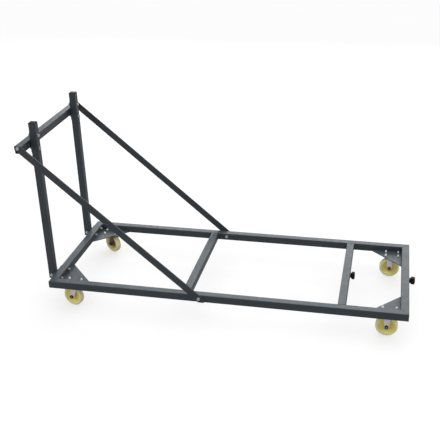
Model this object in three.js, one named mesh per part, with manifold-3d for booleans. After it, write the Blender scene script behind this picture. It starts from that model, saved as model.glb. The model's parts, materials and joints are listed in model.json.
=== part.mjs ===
// A trolley for carrying folding tables: a welded base of square tube on four casters, two fixed and
// two swivelling, with two uprights and a push handle at one end, held upright by two long stays.
// Millimetres, +Z up, +X from the handle towards the open end. The origin is on the floor, under the
// middle of the overall length and width.
import * as THREE from "three";
import { mergeVertices } from "three/addons/utils/BufferGeometryUtils.js";
import Module from "manifold-3d";

const wasm = await Module();
wasm.setup();

// ---- Driving dimensions ----

// Base frame of square tube
const FRAME_LENGTH = 1750;
const FRAME_WIDTH = 694;
const FRAME_TUBE = 38;
const FRAME_BOTTOM = 120.5;
const TUBE_WALL = 2;
const TUBE_CORNER = 3;
const MITRE_GAP = 0.4;
const MID_CROSSBAR_X = -175.5;
const RIGHT_CROSSBAR_X = 568.5;
const CORNER_PLATE_LEGS = {
  left_near: [183, 200],
  left_far: [172, 156],
  right_near: [153, 166],
  right_far: [158, 152],
};
const CORNER_PLATE_RAISE = 4;
const CORNER_PLATE_THICKNESS = 4;

// Uprights and the clevis brackets at their feet
const UPRIGHT_TUBE = 34;
const UPRIGHT_X = -894.5;
const UPRIGHT_Y = 243;
const UPRIGHT_BOTTOM = 125;
const UPRIGHT_TOP = 947;
const UPRIGHT_CORNER = 2.5;
const CAP_FLANGE = 3;
const CAP_INSERT = 14;
const INSIDE_FIT = 0.6;
const BRACKET_THICKNESS = 2.5;
const BRACKET_TOP = 157;
const BRACKET_REACH = 8;
const BRACKET_ROUNDING = 15;
const BRACKET_EAR_MARGIN = 11;
const BRACKET_BOLT_Y = { near: [-34, 58], far: [-33, 46] };
const BRACKET_BOLT_Z = 142;
const FOOT_BOLT_Z = 145;

// Push handle
const HANDLE_X = -931.5;
const HANDLE_Z = 848.5;
const HANDLE_DEPTH = 35;
const HANDLE_HEIGHT = 38;
const HANDLE_PLATE_WIDTH = 28;
const HANDLE_PLATE_THICKNESS = 2.5;
const HANDLE_PLATE_CORNER = 4;
const HANDLE_PLATE_Z = [802, 905];
const HANDLE_BOLT_Z = { lower: 822, upper: 885.5 };
const END_PLUG_DEPTH = 25;

// Stays of flat bar, from the handle's ends down to the rails
const STAY_WIDTH = 34;
const STAY_THICKNESS = 5;
const STAY_FOOT = { near: [-106.5, 141], far: [-109, 141] };
const STAY_TOP_Z = { near: 857, far: 853 };
const STAY_FOOT_END_X = -81;

// Casters
const WHEEL_DIAMETER = 104;
const WHEEL_FACETS = 24;
const TYRE_WIDTH = 32;
const TYRE_SHOULDER = 4;
const RIM_RADIUS = 43;
const HUB_WIDTH = 35;
const HUB_BOSS_RADIUS = 14;
const HUB_DISH = { inner: 16, outer: 36, rim: 38, halfDepth: 7 };
const AXLE_RADIUS = 6;
const AXLE_GAP = 0.1;
const AXLE_TAIL = 2;
const CASTER_BOLTS_Y = 279;
const CASTER_PLATE = [88, 58, 3];
const CASTER_PLATE_CORNER = 6;
const CASTER_BOLT_PATTERN = [64, 42];
const CASTER_BOLT_TAIL = 5;
const FORK_GAP = 36;
const FORK_THICKNESS = 2.5;
const FORK_EYE_RADIUS = 12;

// The fixed casters' wheels, and the middle of their bolts
const FIXED_CASTER = { x: 779, y: 281, boltsX: 788 };
const FIXED_FORK_TOP = 17;

// The swivel casters' kingpins, the middle of their bolts, and the angles they rest at
const KINGPIN = { x: -750, y: 287, boltsX: -770 };
const SWIVEL_TRAIL = 27;
const SWIVEL_YAW = { near: -12, far: -30 };
const RACE_RADIUS = 21.5;
const RACE_DEPTH = 7;
const CROWN_RADIUS = 21.5;
const CROWN_DEPTH = 15;
const CROWN_THICKNESS = 3;
const CROWN_X = [-26, 24];
const SWIVEL_FORK_TOP = [-26, 6];
const RIVET_HEAD_RADIUS = 10;
const RIVET_HEAD = 3;

// Hand knobs on the open end bar and on the crossbar beside it
const KNOB_Z = 139.5;
const KNOB_RADIUS = 18;
const KNOB_LOBE = 1.2;
const KNOB_LOBES = 6;
const KNOB_LENGTH = 20;
const KNOB_EDGE = 1;
const KNOB_COLLAR = { end: 6.2, crossbar: 1.5 };
const KNOB_COLLAR_RADIUS = 14;
const INSERT_RADIUS = 5.5;
const INSERT_DEPTH = 16;
const INSERT_FLANGE = 1.5;
const INSERT_FLANGE_RADIUS = 8;
const RUNNING_GAP = 0.3;
const STUD_LENGTH = 32;
const STUD_BITE = 10;

// Metric fasteners: shank radius, clearance-hole radius, width across flats, head and nut heights
const M6 = { shank: 3, hole: 3.4, flats: 10, head: 4, nut: 5 };
const M8 = { shank: 4, hole: 4.5, flats: 13, head: 5.3, nut: 6.5, washer: 8, washerThickness: 1.6 };
const M12 = { shank: AXLE_RADIUS, hole: 6.2, flats: 17, head: 7, nut: 7, washer: 0, washerThickness: 0 };
const BOLT_TAIL = 3;

// ---- Derived dimensions ----

const FRAME_MIDDLE_Z = FRAME_BOTTOM + FRAME_TUBE / 2;
const END_X = FRAME_LENGTH / 2;
const SIDE_Y = FRAME_WIDTH / 2;
const INNER_X = END_X - FRAME_TUBE;
const INNER_Y = SIDE_Y - FRAME_TUBE;
const CORNER_PLATE_BOTTOM = FRAME_BOTTOM + CORNER_PLATE_RAISE;
const UPRIGHT_FRONT_X = UPRIGHT_X + UPRIGHT_TUBE / 2;
const UPRIGHT_BACK_X = UPRIGHT_X - UPRIGHT_TUBE / 2;
const KNOB_REACH = INSERT_FLANGE + RUNNING_GAP + KNOB_COLLAR.end + KNOB_LENGTH;
const HANDLE_BACK_X = HANDLE_X - HANDLE_DEPTH / 2;
const MIDDLE_X = (HANDLE_BACK_X + END_X + KNOB_REACH) / 2;

// ---- Finishes ----

const paintedSteel = new THREE.MeshStandardMaterial({ color: 0x4d5256, roughness: 0.5, metalness: 0.1 });
const zincSteel = new THREE.MeshStandardMaterial({ color: 0xb9b8b4, roughness: 0.38, metalness: 0.85 });
const blackSteel = new THREE.MeshStandardMaterial({ color: 0x26272a, roughness: 0.45, metalness: 0.6 });
const blackPlastic = new THREE.MeshStandardMaterial({ color: 0x1d1e20, roughness: 0.55, metalness: 0 });
const tyrePlastic = new THREE.MeshStandardMaterial({ color: 0x9c9768, roughness: 0.55, metalness: 0 });
const wheelPlastic = new THREE.MeshStandardMaterial({ color: 0xb0a65a, roughness: 0.45, metalness: 0 });

// ---- Shapes ----

const AXIS = {
  x: new THREE.Vector3(1, 0, 0),
  y: new THREE.Vector3(0, 1, 0),
  z: new THREE.Vector3(0, 0, 1),
};

// Matrices that lay an extrusion along an axis. A section's own x and y become y and z along X,
// z and x along Y, and x and y along Z.
const ALONG = {
  x: new THREE.Matrix4().makeBasis(AXIS.y, AXIS.z, AXIS.x),
  y: new THREE.Matrix4().makeBasis(AXIS.z, AXIS.x, AXIS.y),
  z: new THREE.Matrix4(),
};

function rectanglePath(Path, width, height, radius) {
  const path = new Path();
  const [w, h] = [width / 2, height / 2];
  if (!radius) {
    return path.setFromPoints([[w, -h], [w, h], [-w, h], [-w, -h]].map(([x, y]) => new THREE.Vector2(x, y)));
  }
  path.moveTo(w - radius, -h);
  path.absarc(w - radius, -h + radius, radius, -Math.PI / 2, 0);
  path.absarc(w - radius, h - radius, radius, 0, Math.PI / 2);
  path.absarc(-w + radius, h - radius, radius, Math.PI / 2, Math.PI);
  path.absarc(-w + radius, -h + radius, radius, Math.PI, 1.5 * Math.PI);
  path.closePath();
  return path;
}

// A rounded bar along one axis, centred on the origin.
function bar(axis, width, height, radius, length) {
  const section = rectanglePath(THREE.Shape, width, height, radius);
  const made = new THREE.ExtrudeGeometry(section, { depth: length, bevelEnabled: false, curveSegments: 2 });
  return made.translate(0, 0, -length / 2).applyMatrix4(ALONG[axis]);
}

// A hollow rectangular tube along one axis, centred on the origin and open at both ends.
function tube(axis, width, height, radius, length) {
  const section = rectanglePath(THREE.Shape, width, height, radius);
  const [inWidth, inHeight] = [width - 2 * TUBE_WALL, height - 2 * TUBE_WALL];
  section.holes.push(rectanglePath(THREE.Path, inWidth, inHeight, 0));
  const made = new THREE.ExtrudeGeometry(section, { depth: length, bevelEnabled: false, curveSegments: 2 });
  return made.translate(0, 0, -length / 2).applyMatrix4(ALONG[axis]);
}

// Cuts both ends of a tube at 45 degrees. The side that looks towards +outward keeps the full length.
function mitre(geometry, axis, outwardAxis, outward) {
  const positions = geometry.attributes.position;
  const along = { x: "X", y: "Y" }[axis];
  const across = { x: "X", y: "Y" }[outwardAxis];
  for (let i = 0; i < positions.count; i++) {
    const end = positions[`get${along}`](i);
    const inset = FRAME_TUBE / 2 - outward * positions[`get${across}`](i);
    positions[`set${along}`](i, end - Math.sign(end) * inset);
  }
  return geometry;
}

// A plate whose outline is drawn in x and z, from one y to a larger one.
function upstandingPlate(outline, fromY, toY) {
  const shape = new THREE.Shape(outline.map(([x, z]) => new THREE.Vector2(x, z)));
  const made = new THREE.ExtrudeGeometry(shape, { depth: toY - fromY, bevelEnabled: false });
  const lay = new THREE.Matrix4().makeBasis(AXIS.x, AXIS.z, AXIS.y.clone().negate());
  return made.applyMatrix4(lay).translate(0, toY, 0);
}

// A round or six-sided rod along one axis.
function rod(axis, radius, sides, from, to) {
  const made = new THREE.CylinderGeometry(radius, radius, to - from, sides);
  made.translate(0, (from + to) / 2, 0);
  if (axis === "x") made.rotateZ(-Math.PI / 2);
  if (axis === "z") made.rotateX(Math.PI / 2);
  return made;
}

// A ring turned about the Y axis, from a closed profile of [radius, y] points.
function ring(profile, facets) {
  const points = [...profile, profile[0]].map(([r, y]) => new THREE.Vector2(r, y));
  return new THREE.LatheGeometry(points, facets, Math.PI / facets);
}

// Points on a circle arc in degrees, for plate outlines.
function arcPoints(x, z, radius, fromDegrees, toDegrees, steps) {
  const points = [];
  for (let i = 0; i <= steps; i++) {
    const angle = THREE.MathUtils.degToRad(fromDegrees + ((toDegrees - fromDegrees) * i) / steps);
    points.push([x + radius * Math.cos(angle), z + radius * Math.sin(angle)]);
  }
  return points;
}

// ---- Joining and cutting ----

function solidFrom(geometry) {
  const bare = new THREE.BufferGeometry();
  const source = geometry.index ? geometry.toNonIndexed() : geometry;
  bare.setAttribute("position", source.getAttribute("position").clone());
  const merged = mergeVertices(bare, 1e-4);
  const triVerts = new Uint32Array(merged.index.array);
  const vertProperties = merged.attributes.position.array;
  return new wasm.Manifold(new wasm.Mesh({ numProp: 3, vertProperties, triVerts }));
}

function geometryFrom(solid) {
  const { vertProperties, triVerts } = solid.getMesh();
  const geometry = new THREE.BufferGeometry();
  geometry.setAttribute("position", new THREE.BufferAttribute(vertProperties, 3));
  geometry.setIndex(new THREE.BufferAttribute(triVerts, 1));
  return geometry;
}

function join(geometries) {
  const solids = geometries.map(solidFrom);
  return geometryFrom(solids.reduce((whole, piece) => whole.add(piece)));
}

function cut(geometry, tools) {
  const solids = tools.map(solidFrom);
  return geometryFrom(solids.reduce((whole, tool) => whole.subtract(tool), solidFrom(geometry)));
}

// ---- Placing ----

const trolley = new THREE.Group();
trolley.position.x = -MIDDLE_X;

function place(parent, name, geometry, material, [x, y, z]) {
  const mesh = new THREE.Mesh(geometry, material);
  mesh.name = name;
  mesh.position.set(x, y, z);
  parent.add(mesh);
  return mesh;
}

// The near side is towards -Y and the far side towards +Y.
const SIDES = [
  { side: "near", sign: -1 },
  { side: "far", sign: 1 },
];

// Half a hexagon's width across its corners.
function hexRadius(size) {
  return size.flats / Math.sqrt(3);
}

// A bolt and its nut as one piece. The head's seat is at 0 and the nut's seat at grip.
function boltWithNut(axis, size, grip, direction, tail) {
  const hex = hexRadius(size);
  const end = grip + size.washerThickness + size.nut + tail;
  const rows = [
    [hex, 6, -size.washerThickness - size.head, -size.washerThickness],
    [size.shank, 8, -size.washerThickness - size.head / 2, end],
    [hex, 6, grip + size.washerThickness, grip + size.washerThickness + size.nut],
  ];
  if (size.washer) {
    rows.push([size.washer, 12, -size.washerThickness, 0]);
    rows.push([size.washer, 12, grip, grip + size.washerThickness]);
  }
  return join(rows.map(([radius, sides, from, to]) =>
    direction > 0 ? rod(axis, radius, sides, from, to) : rod(axis, radius, sides, -to, -from)));
}

// ---- Base frame ----

for (const { side, sign } of SIDES) {
  const rail = mitre(tube("x", FRAME_TUBE, FRAME_TUBE, TUBE_CORNER, FRAME_LENGTH), "x", "y", sign);
  const [footX, footZ] = STAY_FOOT[side];
  const hole = rod("y", M8.hole, 8, -FRAME_TUBE, FRAME_TUBE);
  const drilled = cut(rail, [hole.translate(footX, 0, footZ - FRAME_MIDDLE_Z)]);
  const railY = sign * (SIDE_Y - FRAME_TUBE / 2);
  place(trolley, `rail_${side}`, drilled, paintedSteel, [0, railY, FRAME_MIDDLE_Z]);
}

// The wall that takes a knob's insert is drilled on the +X side only.
function drilledForKnob(geometry) {
  const hole = rod("x", INSERT_RADIUS + 0.2, 16, FRAME_TUBE / 2 - 5, FRAME_TUBE / 2 + 5);
  return cut(geometry, [hole.translate(0, 0, KNOB_Z - FRAME_MIDDLE_Z)]);
}

// Each foot bracket's two bolts pass through the end bar.
function drilledForBrackets(geometry) {
  const z = BRACKET_BOLT_Z - FRAME_MIDDLE_Z;
  const places = SIDES.flatMap(({ side, sign }) => BRACKET_BOLT_Y[side].map((y) => sign * UPRIGHT_Y + y));
  return cut(geometry, places.map((y) => rod("x", M8.hole, 8, -FRAME_TUBE, FRAME_TUBE).translate(0, y, z)));
}

const endBar = (outward) =>
  mitre(tube("y", FRAME_TUBE, FRAME_TUBE, TUBE_CORNER, FRAME_WIDTH - 2 * MITRE_GAP), "y", "x", outward);
const crossbar = () => tube("y", FRAME_TUBE, FRAME_TUBE, TUBE_CORNER, 2 * INNER_Y);
const endBarX = END_X - FRAME_TUBE / 2;
const crossMembers = [
  { name: "end_bar_left", x: -endBarX, geometry: drilledForBrackets(endBar(-1)) },
  { name: "end_bar_right", x: endBarX, geometry: drilledForKnob(endBar(1)) },
  { name: "crossbar_mid", x: MID_CROSSBAR_X, geometry: crossbar() },
  { name: "crossbar_right", x: RIGHT_CROSSBAR_X, geometry: drilledForKnob(crossbar()) },
];
for (const { name, x, geometry } of crossMembers) {
  place(trolley, name, geometry, paintedSteel, [x, 0, FRAME_MIDDLE_Z]);
}

// Four bolts stand in a rectangle round the middle of each caster's plate.
function casterBolts() {
  const [lengthwise, crosswise] = CASTER_BOLT_PATTERN;
  return [-1, 1].flatMap((i) => [-1, 1].map((j) => [(i * lengthwise) / 2, (j * crosswise) / 2]));
}

// A triangular plate fills each inner corner, a little above the underside of the tubes.
function cornerPlate(end, sign, [lengthwise, crosswise], boltsX) {
  const corner = [end * INNER_X, sign * INNER_Y];
  const outline = [
    corner,
    [corner[0] - end * lengthwise, corner[1]],
    [corner[0], corner[1] - sign * crosswise],
  ];
  if (end * sign > 0) outline.reverse();
  const shape = new THREE.Shape(outline.map(([x, y]) => new THREE.Vector2(x, y)));
  const plate = new THREE.ExtrudeGeometry(shape, { depth: CORNER_PLATE_THICKNESS, bevelEnabled: false });
  return cut(plate, casterBolts().map(([x, y]) =>
    rod("z", M6.hole, 8, -5, 15).translate(boltsX + x, sign * CASTER_BOLTS_Y + y, 0)));
}

for (const { side, sign } of SIDES) {
  const left = cornerPlate(-1, sign, CORNER_PLATE_LEGS[`left_${side}`], KINGPIN.boltsX);
  const right = cornerPlate(1, sign, CORNER_PLATE_LEGS[`right_${side}`], FIXED_CASTER.boltsX);
  place(trolley, `corner_plate_left_${side}`, left, paintedSteel, [0, 0, CORNER_PLATE_BOTTOM]);
  place(trolley, `corner_plate_right_${side}`, right, paintedSteel, [0, 0, CORNER_PLATE_BOTTOM]);
}

// ---- Uprights, foot brackets and handle ----

const uprightLength = UPRIGHT_TOP - UPRIGHT_BOTTOM;
const uprightMiddle = (UPRIGHT_TOP + UPRIGHT_BOTTOM) / 2;
const bracketMiddle = (UPRIGHT_BOTTOM + BRACKET_TOP) / 2;

function upright() {
  const made = tube("z", UPRIGHT_TUBE, UPRIGHT_TUBE, UPRIGHT_CORNER, uprightLength);
  const holes = Object.values(HANDLE_BOLT_Z).map((z) =>
    rod("x", M8.hole, 8, -UPRIGHT_TUBE, UPRIGHT_TUBE).translate(0, 0, z - uprightMiddle));
  holes.push(rod("y", M8.hole, 8, -UPRIGHT_TUBE, UPRIGHT_TUBE).translate(0, 0, FOOT_BOLT_Z - uprightMiddle));
  return cut(made, holes);
}

// A web with two cheeks beside the upright's foot and two ears, bolted through the end bar. The web
// fills the gap between the upright and the bar, and each bolt's nut stands on the bar's inner face.
function footBracket(side) {
  const outer = UPRIGHT_TUBE / 2 + BRACKET_THICKNESS;
  const barOuter = -END_X - UPRIGHT_X;
  const barInner = -INNER_X - UPRIGHT_X;
  const webBack = barOuter - BRACKET_THICKNESS;
  const [lowBolt, highBolt] = BRACKET_BOLT_Y[side];
  const [lowEar, highEar] = [lowBolt - BRACKET_EAR_MARGIN, highBolt + BRACKET_EAR_MARGIN];
  const section = new THREE.Shape([
    [barOuter, lowEar],
    [barOuter, highEar],
    [webBack, highEar],
    [webBack, outer],
    [-BRACKET_REACH, outer],
    [-BRACKET_REACH, UPRIGHT_TUBE / 2],
    [webBack, UPRIGHT_TUBE / 2],
    [webBack, -UPRIGHT_TUBE / 2],
    [-BRACKET_REACH, -UPRIGHT_TUBE / 2],
    [-BRACKET_REACH, -outer],
    [webBack, -outer],
    [webBack, lowEar],
  ].map(([x, y]) => new THREE.Vector2(x, y)));
  const height = BRACKET_TOP - UPRIGHT_BOTTOM;
  const made = new THREE.ExtrudeGeometry(section, { depth: height, bevelEnabled: false });
  made.translate(0, 0, -height / 2);
  const arcX = BRACKET_ROUNDING - BRACKET_REACH;
  const arcZ = height / 2 - BRACKET_ROUNDING;
  const profile = [
    ...arcPoints(arcX, arcZ, BRACKET_ROUNDING, 90, 180, 5),
    ...arcPoints(arcX, -arcZ, BRACKET_ROUNDING, 180, 270, 5),
    [UPRIGHT_TUBE, -height / 2],
    [UPRIGHT_TUBE, height / 2],
  ];
  const rounded = solidFrom(made).intersect(solidFrom(upstandingPlate(profile, lowEar, highEar)));
  const bolts = BRACKET_BOLT_Y[side].flatMap((y) => [
    rod("x", hexRadius(M8), 6, webBack - M8.head, webBack),
    rod("x", M8.shank, 8, webBack - 1, barInner + M8.nut + BOLT_TAIL),
    rod("x", hexRadius(M8), 6, barInner, barInner + M8.nut),
  ].map((piece) => piece.translate(0, y, BRACKET_BOLT_Z - bracketMiddle)));
  const joined = join([geometryFrom(rounded), ...bolts]);
  const hole = rod("y", M8.hole, 8, -outer - 1, outer + 1);
  return cut(joined, [hole.translate(0, 0, FOOT_BOLT_Z - bracketMiddle)]);
}

for (const { side, sign } of SIDES) {
  const y = sign * UPRIGHT_Y;
  place(trolley, `upright_${side}`, upright(), paintedSteel, [UPRIGHT_X, y, uprightMiddle]);

  const inside = UPRIGHT_TUBE - 2 * TUBE_WALL - INSIDE_FIT;
  const cap = join([
    bar("z", UPRIGHT_TUBE, UPRIGHT_TUBE, UPRIGHT_CORNER, CAP_FLANGE).translate(0, 0, CAP_FLANGE / 2),
    bar("z", inside, inside, 1, CAP_INSERT).translate(0, 0, 1 - CAP_INSERT / 2),
  ]);
  place(trolley, `upright_cap_${side}`, cap, blackPlastic, [UPRIGHT_X, y, UPRIGHT_TOP]);

  place(trolley, `foot_bracket_${side}`, footBracket(side), paintedSteel, [UPRIGHT_X, y, bracketMiddle]);
  const footGrip = UPRIGHT_TUBE + 2 * BRACKET_THICKNESS;
  const footBolt = boltWithNut("y", M8, footGrip, -sign, BOLT_TAIL).translate(0, (sign * footGrip) / 2, 0);
  place(trolley, `foot_bolt_${side}`, footBolt, zincSteel, [UPRIGHT_X, y, FOOT_BOLT_Z]);

  const plateHeight = HANDLE_PLATE_Z[1] - HANDLE_PLATE_Z[0];
  const plateMiddle = (HANDLE_PLATE_Z[0] + HANDLE_PLATE_Z[1]) / 2;
  const handlePlate = cut(
    bar("x", HANDLE_PLATE_WIDTH, plateHeight, HANDLE_PLATE_CORNER, HANDLE_PLATE_THICKNESS),
    Object.values(HANDLE_BOLT_Z).map((z) => rod("x", M8.hole, 8, -9, 9).translate(0, 0, z - plateMiddle)),
  );
  const plateX = UPRIGHT_BACK_X - HANDLE_PLATE_THICKNESS / 2;
  place(trolley, `handle_plate_${side}`, handlePlate, paintedSteel, [plateX, y, plateMiddle]);
  const handleGrip = UPRIGHT_TUBE + HANDLE_PLATE_THICKNESS;
  for (const [level, z] of Object.entries(HANDLE_BOLT_Z)) {
    const bolt = boltWithNut("x", M8, handleGrip, -1, BOLT_TAIL);
    place(trolley, `handle_bolt_${level}_${side}`, bolt, zincSteel, [UPRIGHT_FRONT_X, y, z]);
  }
}

const handleBar = tube("y", HANDLE_HEIGHT, HANDLE_DEPTH, TUBE_CORNER, FRAME_WIDTH);
place(trolley, "handle_bar", handleBar, paintedSteel, [HANDLE_X, 0, HANDLE_Z]);

// ---- Stays ----

// The flat bar is trimmed to the handle bar's outline at the top and to the rail's underside at the foot.
function stayOutline(side) {
  const [footX, footZ] = STAY_FOOT[side];
  const slope = (STAY_TOP_Z[side] - footZ) / (HANDLE_X - footX);
  const rise = (STAY_WIDTH / 2) * Math.hypot(1, slope);
  const upperEdgeZ = (x) => footZ + rise + slope * (x - footX);
  const lowerEdgeZ = (x) => footZ - rise + slope * (x - footX);
  const handleTop = HANDLE_Z + HANDLE_HEIGHT / 2;
  return [
    [STAY_FOOT_END_X, FRAME_BOTTOM],
    [STAY_FOOT_END_X, upperEdgeZ(STAY_FOOT_END_X)],
    [footX + (handleTop - footZ - rise) / slope, handleTop],
    [HANDLE_BACK_X, handleTop],
    [HANDLE_BACK_X, lowerEdgeZ(HANDLE_BACK_X)],
    [footX + (FRAME_BOTTOM - footZ + rise) / slope, FRAME_BOTTOM],
  ];
}

for (const { side, sign } of SIDES) {
  const half = STAY_THICKNESS / 2;
  const topZ = STAY_TOP_Z[side];
  const [footX, footZ] = STAY_FOOT[side];
  const ends = [[footX, footZ], [HANDLE_X, topZ]];
  const holes = ends.map(([x, z]) => rod("y", M8.hole, 8, -9, 9).translate(x, 0, z));
  const stay = cut(upstandingPlate(stayOutline(side), -half, half), holes);
  place(trolley, `stay_${side}`, stay, paintedSteel, [0, sign * (SIDE_Y + half), 0]);

  const outerFace = sign * (SIDE_Y + STAY_THICKNESS);
  const footBolt = boltWithNut("y", M8, STAY_THICKNESS + FRAME_TUBE, -sign, BOLT_TAIL);
  place(trolley, `stay_foot_bolt_${side}`, footBolt, zincSteel, [footX, outerFace, footZ]);

  const slack = 2 * TUBE_WALL + INSIDE_FIT;
  const block = bar("y", HANDLE_HEIGHT - slack, HANDLE_DEPTH - slack, 1, END_PLUG_DEPTH);
  const plugHole = rod("y", M8.hole, 8, -END_PLUG_DEPTH, END_PLUG_DEPTH).translate(0, 0, topZ - HANDLE_Z);
  const plug = cut(block, [plugHole]);
  const plugY = sign * (SIDE_Y - END_PLUG_DEPTH / 2);
  place(trolley, `handle_plug_${side}`, plug, blackPlastic, [HANDLE_X, plugY, HANDLE_Z]);

  const headSeat = M8.washerThickness;
  const topBolt = join([
    rod("y", M8.shank, 8, -STAY_THICKNESS - END_PLUG_DEPTH + 2, headSeat + 2),
    rod("y", M8.washer, 12, 0, headSeat),
    rod("y", hexRadius(M8), 6, headSeat, headSeat + M8.head),
  ]);
  if (sign < 0) topBolt.rotateZ(Math.PI);
  place(trolley, `stay_top_bolt_${side}`, topBolt, zincSteel, [HANDLE_X, outerFace, topZ]);
}

// ---- Casters ----

const [plateLength, plateWidth, plateThickness] = CASTER_PLATE;
const casterPlateBottom = CORNER_PLATE_BOTTOM - plateThickness;
const forkOuter = FORK_GAP / 2 + FORK_THICKNESS;

// The bolted top plate: four bolts stand up through the corner plate, with nuts on top of it.
function boltedPlate(offsetX, offsetY) {
  const hex = hexRadius(M6);
  const seat = CORNER_PLATE_BOTTOM + CORNER_PLATE_THICKNESS;
  const tip = seat + M6.nut + CASTER_BOLT_TAIL;
  const plate = bar("z", plateLength, plateWidth, CASTER_PLATE_CORNER, plateThickness);
  const pieces = [plate.translate(offsetX, offsetY, casterPlateBottom + plateThickness / 2)];
  for (const [x, y] of casterBolts()) {
    const bolt = [
      rod("z", hex, 6, casterPlateBottom - M6.head, casterPlateBottom + 1),
      rod("z", M6.shank, 8, casterPlateBottom, tip),
      rod("z", hex, 6, seat, seat + M6.nut),
    ];
    pieces.push(...bolt.map((piece) => piece.translate(offsetX + x, offsetY + y, 0)));
  }
  return pieces;
}

// One fork leg on each side of the wheel, from an outline in x and z, with the axle's hole in it.
function forkLegs(outline) {
  return [
    upstandingPlate(outline, -forkOuter, -FORK_GAP / 2),
    upstandingPlate(outline, FORK_GAP / 2, forkOuter),
  ];
}

function axleHole(x) {
  return rod("y", M12.hole, 16, -FORK_GAP, FORK_GAP).translate(x, 0, WHEEL_DIAMETER / 2);
}

// The wheel: a tread ring on a dished hub, which turns on the axle. A flat facet rests on the floor.
function addWheel(group, name, x) {
  const facetScale = 1 / Math.cos(Math.PI / WHEEL_FACETS);
  const outer = (WHEEL_DIAMETER / 2) * facetScale;
  const half = TYRE_WIDTH / 2;
  const seat = RIM_RADIUS + AXLE_GAP;
  const tyre = ring([
    [seat, -half + 1],
    [outer - TYRE_SHOULDER, -half],
    [outer, -half + TYRE_SHOULDER],
    [outer, half - TYRE_SHOULDER],
    [outer - TYRE_SHOULDER, half],
    [seat, half - 1],
  ], WHEEL_FACETS);
  const bore = (AXLE_RADIUS + AXLE_GAP) * facetScale;
  const hubHalf = [
    [RIM_RADIUS, half - 1],
    [HUB_DISH.rim, half - 1],
    [HUB_DISH.outer, HUB_DISH.halfDepth],
    [HUB_DISH.inner, HUB_DISH.halfDepth],
    [HUB_BOSS_RADIUS, HUB_WIDTH / 2],
    [bore, HUB_WIDTH / 2],
  ];
  const mirrored = hubHalf.map(([radius, y]) => [radius, -y]).reverse();
  const hub = ring([...mirrored, ...hubHalf], WHEEL_FACETS);
  place(group, `tyre_${name}`, tyre, tyrePlastic, [x, 0, WHEEL_DIAMETER / 2]);
  place(group, `wheel_hub_${name}`, hub, wheelPlastic, [x, 0, WHEEL_DIAMETER / 2]);
  const axle = boltWithNut("y", M12, 2 * forkOuter, 1, AXLE_TAIL).translate(0, -forkOuter, 0);
  place(group, `axle_${name}`, axle, blackSteel, [x, 0, WHEEL_DIAMETER / 2]);
}

function addFixedCaster(side, sign) {
  const caster = new THREE.Group();
  caster.position.set(FIXED_CASTER.x, sign * FIXED_CASTER.y, 0);
  trolley.add(caster);
  const leg = [
    [FIXED_FORK_TOP, casterPlateBottom + 1],
    [-FIXED_FORK_TOP, casterPlateBottom + 1],
    ...arcPoints(0, WHEEL_DIAMETER / 2, FORK_EYE_RADIUS, 176, 364, 8),
  ];
  const plate = boltedPlate(FIXED_CASTER.boltsX - FIXED_CASTER.x, sign * (CASTER_BOLTS_Y - FIXED_CASTER.y));
  const fork = cut(join([...plate, ...forkLegs(leg)]), [axleHole(0)]);
  place(caster, `fixed_fork_${side}`, fork, zincSteel, [0, 0, 0]);
  addWheel(caster, `right_${side}`, 0);
}

function addSwivelCaster(side, sign) {
  const mounting = new THREE.Group();
  mounting.position.set(KINGPIN.x, sign * KINGPIN.y, 0);
  trolley.add(mounting);
  const raceBottom = casterPlateBottom - RACE_DEPTH;
  const crownBottom = casterPlateBottom - CROWN_DEPTH;
  const headTop = crownBottom - RUNNING_GAP;
  const pin = join([
    ...boltedPlate(KINGPIN.boltsX - KINGPIN.x, sign * (CASTER_BOLTS_Y - KINGPIN.y)),
    rod("z", RACE_RADIUS, 24, raceBottom, casterPlateBottom + 1),
    rod("z", AXLE_RADIUS, 16, headTop - 1, casterPlateBottom),
    rod("z", RIVET_HEAD_RADIUS, 16, headTop - RIVET_HEAD, headTop),
  ]);
  place(mounting, `kingpin_plate_${side}`, pin, zincSteel, [0, 0, 0]);

  const swivel = new THREE.Group();
  swivel.rotation.z = THREE.MathUtils.degToRad(SWIVEL_YAW[side]);
  mounting.add(swivel);
  const [legBack, legFront] = SWIVEL_FORK_TOP;
  const leg = [
    [legFront, crownBottom + CROWN_THICKNESS],
    [legBack, crownBottom + CROWN_THICKNESS],
    ...arcPoints(-SWIVEL_TRAIL, WHEEL_DIAMETER / 2, FORK_EYE_RADIUS, 180, 345, 8),
  ];
  const crownLength = CROWN_X[1] - CROWN_X[0];
  const crownMiddle = (CROWN_X[0] + CROWN_X[1]) / 2;
  const crown = bar("z", crownLength, 2 * forkOuter, 4, CROWN_THICKNESS);
  const body = join([
    crown.translate(crownMiddle, 0, crownBottom + CROWN_THICKNESS / 2),
    rod("z", CROWN_RADIUS, 24, crownBottom + 1, raceBottom - RUNNING_GAP),
    ...forkLegs(leg),
  ]);
  const pinHole = rod("z", AXLE_RADIUS + 0.4, 16, headTop, casterPlateBottom);
  const fork = cut(body, [pinHole, axleHole(-SWIVEL_TRAIL)]);
  place(swivel, `swivel_fork_${side}`, fork, zincSteel, [0, 0, 0]);
  addWheel(swivel, `left_${side}`, -SWIVEL_TRAIL);
}

for (const { side, sign } of SIDES) {
  addFixedCaster(side, sign);
  addSwivelCaster(side, sign);
}

// ---- Hand knobs ----

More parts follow.
